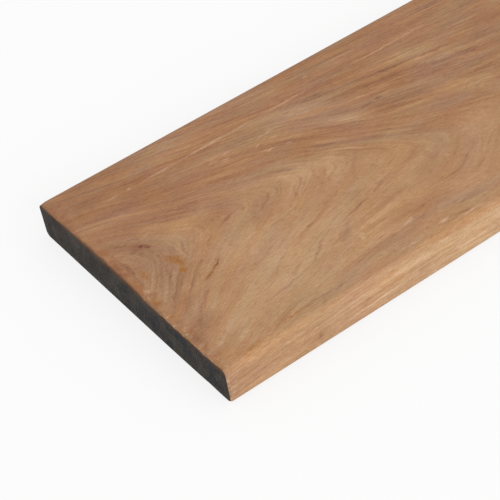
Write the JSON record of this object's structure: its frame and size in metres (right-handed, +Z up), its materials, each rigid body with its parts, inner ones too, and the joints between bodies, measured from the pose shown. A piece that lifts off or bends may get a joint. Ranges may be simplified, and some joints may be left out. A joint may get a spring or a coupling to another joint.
{
  "type": "decking board",
  "caption": "Smooth hardwood decking board: a flat rectangular plank with eased long edges and dark sealed ends, laid across joists as an outdoor floor.",
  "frame": {"origin": "middle of the underside, so the board lies flat on a level floor", "axes": "+X along the board's length, +Y across its width, +Z up through its thickness, out of the walking face"},
  "size_m": [1.83, 0.145, 0.019],
  "materials": {
    "hardwood": "matte"
  },
  "bodies": {
    "root": {"decking_board": "hardwood"}
  },
  "joints": []
}
